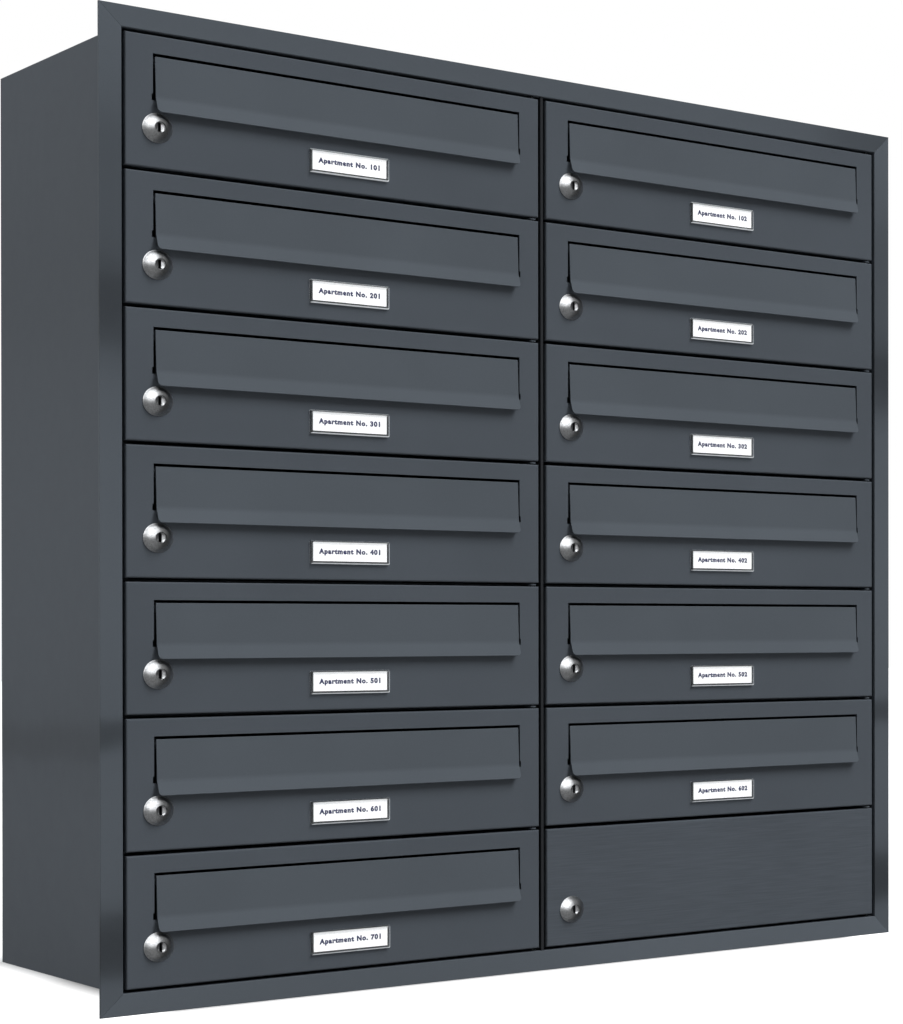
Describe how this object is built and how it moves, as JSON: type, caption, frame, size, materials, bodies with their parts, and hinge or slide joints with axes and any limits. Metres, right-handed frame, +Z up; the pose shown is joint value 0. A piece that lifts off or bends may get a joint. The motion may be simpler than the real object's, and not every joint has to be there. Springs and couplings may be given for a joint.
{
  "type": "cluster mailbox",
  "caption": "Flush-mounted cluster mailbox: sheet casing behind a mitred trim frame, with hinged doors that carry lifting mail flaps, cam locks and name plates.",
  "frame": {"origin": "centre of the rear panel's outer face, which rests on the back of the wall recess", "axes": "+Y out of the back into the wall, so the doors face -Y; +X to the right as seen from the front; +Z up"},
  "size_m": [0.778, 0.2778, 0.808],
  "materials": {
    "casing_paint": "satin powder coat",
    "trim_paint": "semi-gloss powder coat",
    "door_paint": "satin powder coat",
    "flap_paint": "satin powder coat",
    "lock_metal": "polished nickel plate",
    "plate_plastic": "clear acrylic over a white card",
    "pin_steel": "bright zinc"
  },
  "bodies": {
    "casing": {"casing_shell": "casing_paint", "rear_panel": "casing_paint", "centre_partition": "casing_paint", "shelves": "casing_paint", "trim_frame": "trim_paint", "hinge_pins": "pin_steel"},
    "service_door": {"service_door": "door_paint"},
    "service_lock": {"service_lock": "lock_metal"},
    "box_01_door": {"door_01": "door_paint", "name_plate_01": "plate_plastic"},
    "box_01_flap": {"flap_01": "flap_paint"},
    "box_01_lock": {"lock_01": "lock_metal"},
    "box_02_door": {"door_02": "door_paint", "name_plate_02": "plate_plastic"},
    "box_02_flap": {"flap_02": "flap_paint"},
    "box_02_lock": {"lock_02": "lock_metal"},
    "box_03_door": {"door_03": "door_paint", "name_plate_03": "plate_plastic"},
    "box_03_flap": {"flap_03": "flap_paint"},
    "box_03_lock": {"lock_03": "lock_metal"},
    "box_04_door": {"door_04": "door_paint", "name_plate_04": "plate_plastic"},
    "box_04_flap": {"flap_04": "flap_paint"},
    "box_04_lock": {"lock_04": "lock_metal"},
    "box_05_door": {"door_05": "door_paint", "name_plate_05": "plate_plastic"},
    "box_05_flap": {"flap_05": "flap_paint"},
    "box_05_lock": {"lock_05": "lock_metal"},
    "box_06_door": {"door_06": "door_paint", "name_plate_06": "plate_plastic"},
    "box_06_flap": {"flap_06": "flap_paint"},
    "box_06_lock": {"lock_06": "lock_metal"},
    "box_07_door": {"door_07": "door_paint", "name_plate_07": "plate_plastic"},
    "box_07_flap": {"flap_07": "flap_paint"},
    "box_07_lock": {"lock_07": "lock_metal"},
    "box_08_door": {"door_08": "door_paint", "name_plate_08": "plate_plastic"},
    "box_08_flap": {"flap_08": "flap_paint"},
    "box_08_lock": {"lock_08": "lock_metal"},
    "box_09_door": {"door_09": "door_paint", "name_plate_09": "plate_plastic"},
    "box_09_flap": {"flap_09": "flap_paint"},
    "box_09_lock": {"lock_09": "lock_metal"},
    "box_10_door": {"door_10": "door_paint", "name_plate_10": "plate_plastic"},
    "box_10_flap": {"flap_10": "flap_paint"},
    "box_10_lock": {"lock_10": "lock_metal"},
    "box_11_door": {"door_11": "door_paint", "name_plate_11": "plate_plastic"},
    "box_11_flap": {"flap_11": "flap_paint"},
    "box_11_lock": {"lock_11": "lock_metal"},
    "box_12_door": {"door_12": "door_paint", "name_plate_12": "plate_plastic"},
    "box_12_flap": {"flap_12": "flap_paint"},
    "box_12_lock": {"lock_12": "lock_metal"},
    "box_13_door": {"door_13": "door_paint", "name_plate_13": "plate_plastic"},
    "box_13_flap": {"flap_13": "flap_paint"},
    "box_13_lock": {"lock_13": "lock_metal"}
  },
  "joints": [
    {"name": "service_door", "type": "hinge", "parent": "casing", "child": "service_door", "pos_m": [0.364, -0.267, -0.33], "axis": [0, 0, 1], "range_deg": [0, 95]},
    {"name": "service_lock", "type": "hinge", "parent": "service_door", "child": "service_lock", "pos_m": [0.0292, -0.2715, -0.351], "axis": [0, 1, 0], "range_deg": [0, 90]},
    {"name": "box_01_door", "type": "hinge", "parent": "casing", "child": "box_01_door", "pos_m": [-0.0082, -0.267, 0.33], "axis": [0, 0, 1], "range_deg": [0, 95]},
    {"name": "box_01_flap", "type": "hinge", "parent": "box_01_door", "child": "box_01_flap", "pos_m": [-0.18455, -0.2681, 0.3635], "axis": [-1, 0, 0], "range_deg": [0, 80]},
    {"name": "box_01_lock", "type": "hinge", "parent": "box_01_door", "child": "box_01_lock", "pos_m": [-0.343, -0.2715, 0.309], "axis": [0, 1, 0], "range_deg": [0, 90]},
    {"name": "box_02_door", "type": "hinge", "parent": "casing", "child": "box_02_door", "pos_m": [-0.0082, -0.267, 0.22], "axis": [0, 0, 1], "range_deg": [0, 95]},
    {"name": "box_02_flap", "type": "hinge", "parent": "box_02_door", "child": "box_02_flap", "pos_m": [-0.18455, -0.2681, 0.2535], "axis": [-1, 0, 0], "range_deg": [0, 80]},
    {"name": "box_02_lock", "type": "hinge", "parent": "box_02_door", "child": "box_02_lock", "pos_m": [-0.343, -0.2715, 0.199], "axis": [0, 1, 0], "range_deg": [0, 90]},
    {"name": "box_03_door", "type": "hinge", "parent": "casing", "child": "box_03_door", "pos_m": [-0.0082, -0.267, 0.11], "axis": [0, 0, 1], "range_deg": [0, 95]},
    {"name": "box_03_flap", "type": "hinge", "parent": "box_03_door", "child": "box_03_flap", "pos_m": [-0.18455, -0.2681, 0.1435], "axis": [-1, 0, 0], "range_deg": [0, 80]},
    {"name": "box_03_lock", "type": "hinge", "parent": "box_03_door", "child": "box_03_lock", "pos_m": [-0.343, -0.2715, 0.089], "axis": [0, 1, 0], "range_deg": [0, 90]},
    {"name": "box_04_door", "type": "hinge", "parent": "casing", "child": "box_04_door", "pos_m": [-0.0082, -0.267, 0], "axis": [0, 0, 1], "range_deg": [0, 95]},
    {"name": "box_04_flap", "type": "hinge", "parent": "box_04_door", "child": "box_04_flap", "pos_m": [-0.18455, -0.2681, 0.0335], "axis": [-1, 0, 0], "range_deg": [0, 80]},
    {"name": "box_04_lock", "type": "hinge", "parent": "box_04_door", "child": "box_04_lock", "pos_m": [-0.343, -0.2715, -0.021], "axis": [0, 1, 0], "range_deg": [0, 90]},
    {"name": "box_05_door", "type": "hinge", "parent": "casing", "child": "box_05_door", "pos_m": [-0.0082, -0.267, -0.11], "axis": [0, 0, 1], "range_deg": [0, 95]},
    {"name": "box_05_flap", "type": "hinge", "parent": "box_05_door", "child": "box_05_flap", "pos_m": [-0.18455, -0.2681, -0.0765], "axis": [-1, 0, 0], "range_deg": [0, 80]},
    {"name": "box_05_lock", "type": "hinge", "parent": "box_05_door", "child": "box_05_lock", "pos_m": [-0.343, -0.2715, -0.131], "axis": [0, 1, 0], "range_deg": [0, 90]},
    {"name": "box_06_door", "type": "hinge", "parent": "casing", "child": "box_06_door", "pos_m": [-0.0082, -0.267, -0.22], "axis": [0, 0, 1], "range_deg": [0, 95]},
    {"name": "box_06_flap", "type": "hinge", "parent": "box_06_door", "child": "box_06_flap", "pos_m": [-0.18455, -0.2681, -0.1865], "axis": [-1, 0, 0], "range_deg": [0, 80]},
    {"name": "box_06_lock", "type": "hinge", "parent": "box_06_door", "child": "box_06_lock", "pos_m": [-0.343, -0.2715, -0.241], "axis": [0, 1, 0], "range_deg": [0, 90]},
    {"name": "box_07_door", "type": "hinge", "parent": "casing", "child": "box_07_door", "pos_m": [-0.0082, -0.267, -0.33], "axis": [0, 0, 1], "range_deg": [0, 95]},
    {"name": "box_07_flap", "type": "hinge", "parent": "box_07_door", "child": "box_07_flap", "pos_m": [-0.18455, -0.2681, -0.2965], "axis": [-1, 0, 0], "range_deg": [0, 80]},
    {"name": "box_07_lock", "type": "hinge", "parent": "box_07_door", "child": "box_07_lock", "pos_m": [-0.343, -0.2715, -0.351], "axis": [0, 1, 0], "range_deg": [0, 90]},
    {"name": "box_08_door", "type": "hinge", "parent": "casing", "child": "box_08_door", "pos_m": [0.364, -0.267, 0.33], "axis": [0, 0, 1], "range_deg": [0, 95]},
    {"name": "box_08_flap", "type": "hinge", "parent": "box_08_door", "child": "box_08_flap", "pos_m": [0.18765, -0.2681, 0.3635], "axis": [-1, 0, 0], "range_deg": [0, 80]},
    {"name": "box_08_lock", "type": "hinge", "parent": "box_08_door", "child": "box_08_lock", "pos_m": [0.0292, -0.2715, 0.309], "axis": [0, 1, 0], "range_deg": [0, 90]},
    {"name": "box_09_door", "type": "hinge", "parent": "casing", "child": "box_09_door", "pos_m": [0.364, -0.267, 0.22], "axis": [0, 0, 1], "range_deg": [0, 95]},
    {"name": "box_09_flap", "type": "hinge", "parent": "box_09_door", "child": "box_09_flap", "pos_m": [0.18765, -0.2681, 0.2535], "axis": [-1, 0, 0], "range_deg": [0, 80]},
    {"name": "box_09_lock", "type": "hinge", "parent": "box_09_door", "child": "box_09_lock", "pos_m": [0.0292, -0.2715, 0.199], "axis": [0, 1, 0], "range_deg": [0, 90]},
    {"name": "box_10_door", "type": "hinge", "parent": "casing", "child": "box_10_door", "pos_m": [0.364, -0.267, 0.11], "axis": [0, 0, 1], "range_deg": [0, 95]},
    {"name": "box_10_flap", "type": "hinge", "parent": "box_10_door", "child": "box_10_flap", "pos_m": [0.18765, -0.2681, 0.1435], "axis": [-1, 0, 0], "range_deg": [0, 80]},
    {"name": "box_10_lock", "type": "hinge", "parent": "box_10_door", "child": "box_10_lock", "pos_m": [0.0292, -0.2715, 0.089], "axis": [0, 1, 0], "range_deg": [0, 90]},
    {"name": "box_11_door", "type": "hinge", "parent": "casing", "child": "box_11_door", "pos_m": [0.364, -0.267, 0], "axis": [0, 0, 1], "range_deg": [0, 95]},
    {"name": "box_11_flap", "type": "hinge", "parent": "box_11_door", "child": "box_11_flap", "pos_m": [0.18765, -0.2681, 0.0335], "axis": [-1, 0, 0], "range_deg": [0, 80]},
    {"name": "box_11_lock", "type": "hinge", "parent": "box_11_door", "child": "box_11_lock", "pos_m": [0.0292, -0.2715, -0.021], "axis": [0, 1, 0], "range_deg": [0, 90]},
    {"name": "box_12_door", "type": "hinge", "parent": "casing", "child": "box_12_door", "pos_m": [0.364, -0.267, -0.11], "axis": [0, 0, 1], "range_deg": [0, 95]},
    {"name": "box_12_flap", "type": "hinge", "parent": "box_12_door", "child": "box_12_flap", "pos_m": [0.18765, -0.2681, -0.0765], "axis": [-1, 0, 0], "range_deg": [0, 80]},
    {"name": "box_12_lock", "type": "hinge", "parent": "box_12_door", "child": "box_12_lock", "pos_m": [0.0292, -0.2715, -0.131], "axis": [0, 1, 0], "range_deg": [0, 90]},
    {"name": "box_13_door", "type": "hinge", "parent": "casing", "child": "box_13_door", "pos_m": [0.364, -0.267, -0.22], "axis": [0, 0, 1], "range_deg": [0, 95]},
    {"name": "box_13_flap", "type": "hinge", "parent": "box_13_door", "child": "box_13_flap", "pos_m": [0.18765, -0.2681, -0.1865], "axis": [-1, 0, 0], "range_deg": [0, 80]},
    {"name": "box_13_lock", "type": "hinge", "parent": "box_13_door", "child": "box_13_lock", "pos_m": [0.0292, -0.2715, -0.241], "axis": [0, 1, 0], "range_deg": [0, 90]}
  ]
}
